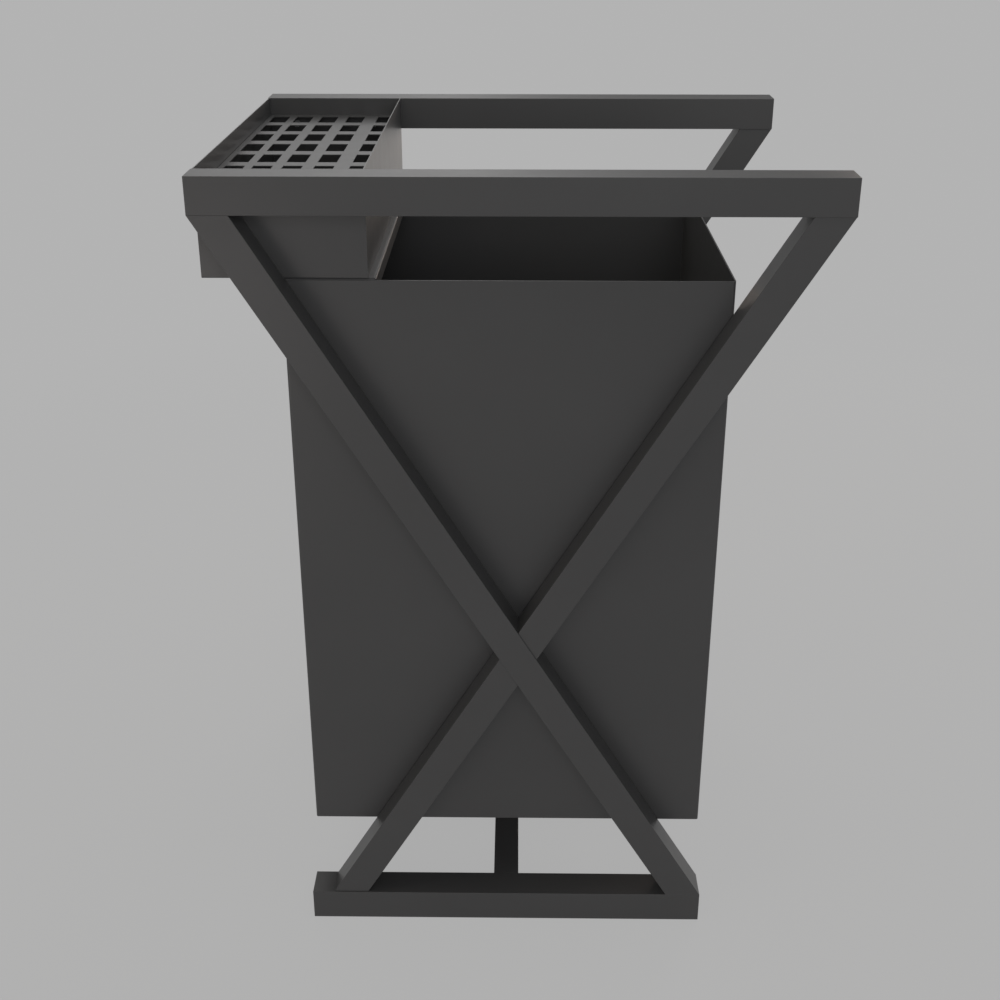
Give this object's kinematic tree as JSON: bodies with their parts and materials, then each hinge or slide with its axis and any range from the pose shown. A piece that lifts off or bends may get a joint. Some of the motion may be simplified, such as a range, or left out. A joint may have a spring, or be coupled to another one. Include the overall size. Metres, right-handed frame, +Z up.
{
  "type": "outdoor waste bin",
  "caption": "Outdoor litter bin: open sheet steel bin hung between crossed-leg square tube frames, with an ash box and lift-out grate let in between the top rails.",
  "frame": {"origin": "middle of the footprint, on the ground", "axes": "+X to the right along the top rails as seen from the front, +Y from the front frame to the rear frame, +Z up"},
  "size_m": [0.65, 0.54, 0.9],
  "materials": {
    "frame_paint": "satin anthracite powder coat on steel tube",
    "bin_paint": "satin anthracite powder coat on sheet steel",
    "box_paint": "satin anthracite powder coat on sheet steel",
    "grate_paint": "satin anthracite powder coat on steel plate",
    "plug_plastic": "matt black moulded plastic",
    "zinc_steel": "zinc-plated steel"
  },
  "bodies": {
    "root": {"front_top_rail": "frame_paint", "rear_top_rail": "frame_paint", "front_foot_rail": "frame_paint", "rear_foot_rail": "frame_paint", "front_long_leg": "frame_paint", "rear_long_leg": "frame_paint", "front_upper_leg": "frame_paint", "rear_upper_leg": "frame_paint", "front_lower_leg": "frame_paint", "rear_lower_leg": "frame_paint", "base_bar": "frame_paint", "rail_end_plugs": "plug_plastic", "foot_end_plugs": "plug_plastic", "bin_shell": "bin_paint", "bin_floor": "bin_paint", "bin_bolts": "zinc_steel", "leg_blind_nuts": "zinc_steel", "ash_box": "box_paint", "ash_box_ends": "box_paint", "ash_box_screws": "zinc_steel", "mouth_shelf": "bin_paint", "front_grate_rest": "box_paint", "rear_grate_rest": "box_paint", "side_grate_rests": "box_paint", "ash_grate": "grate_paint"}
  },
  "joints": []
}
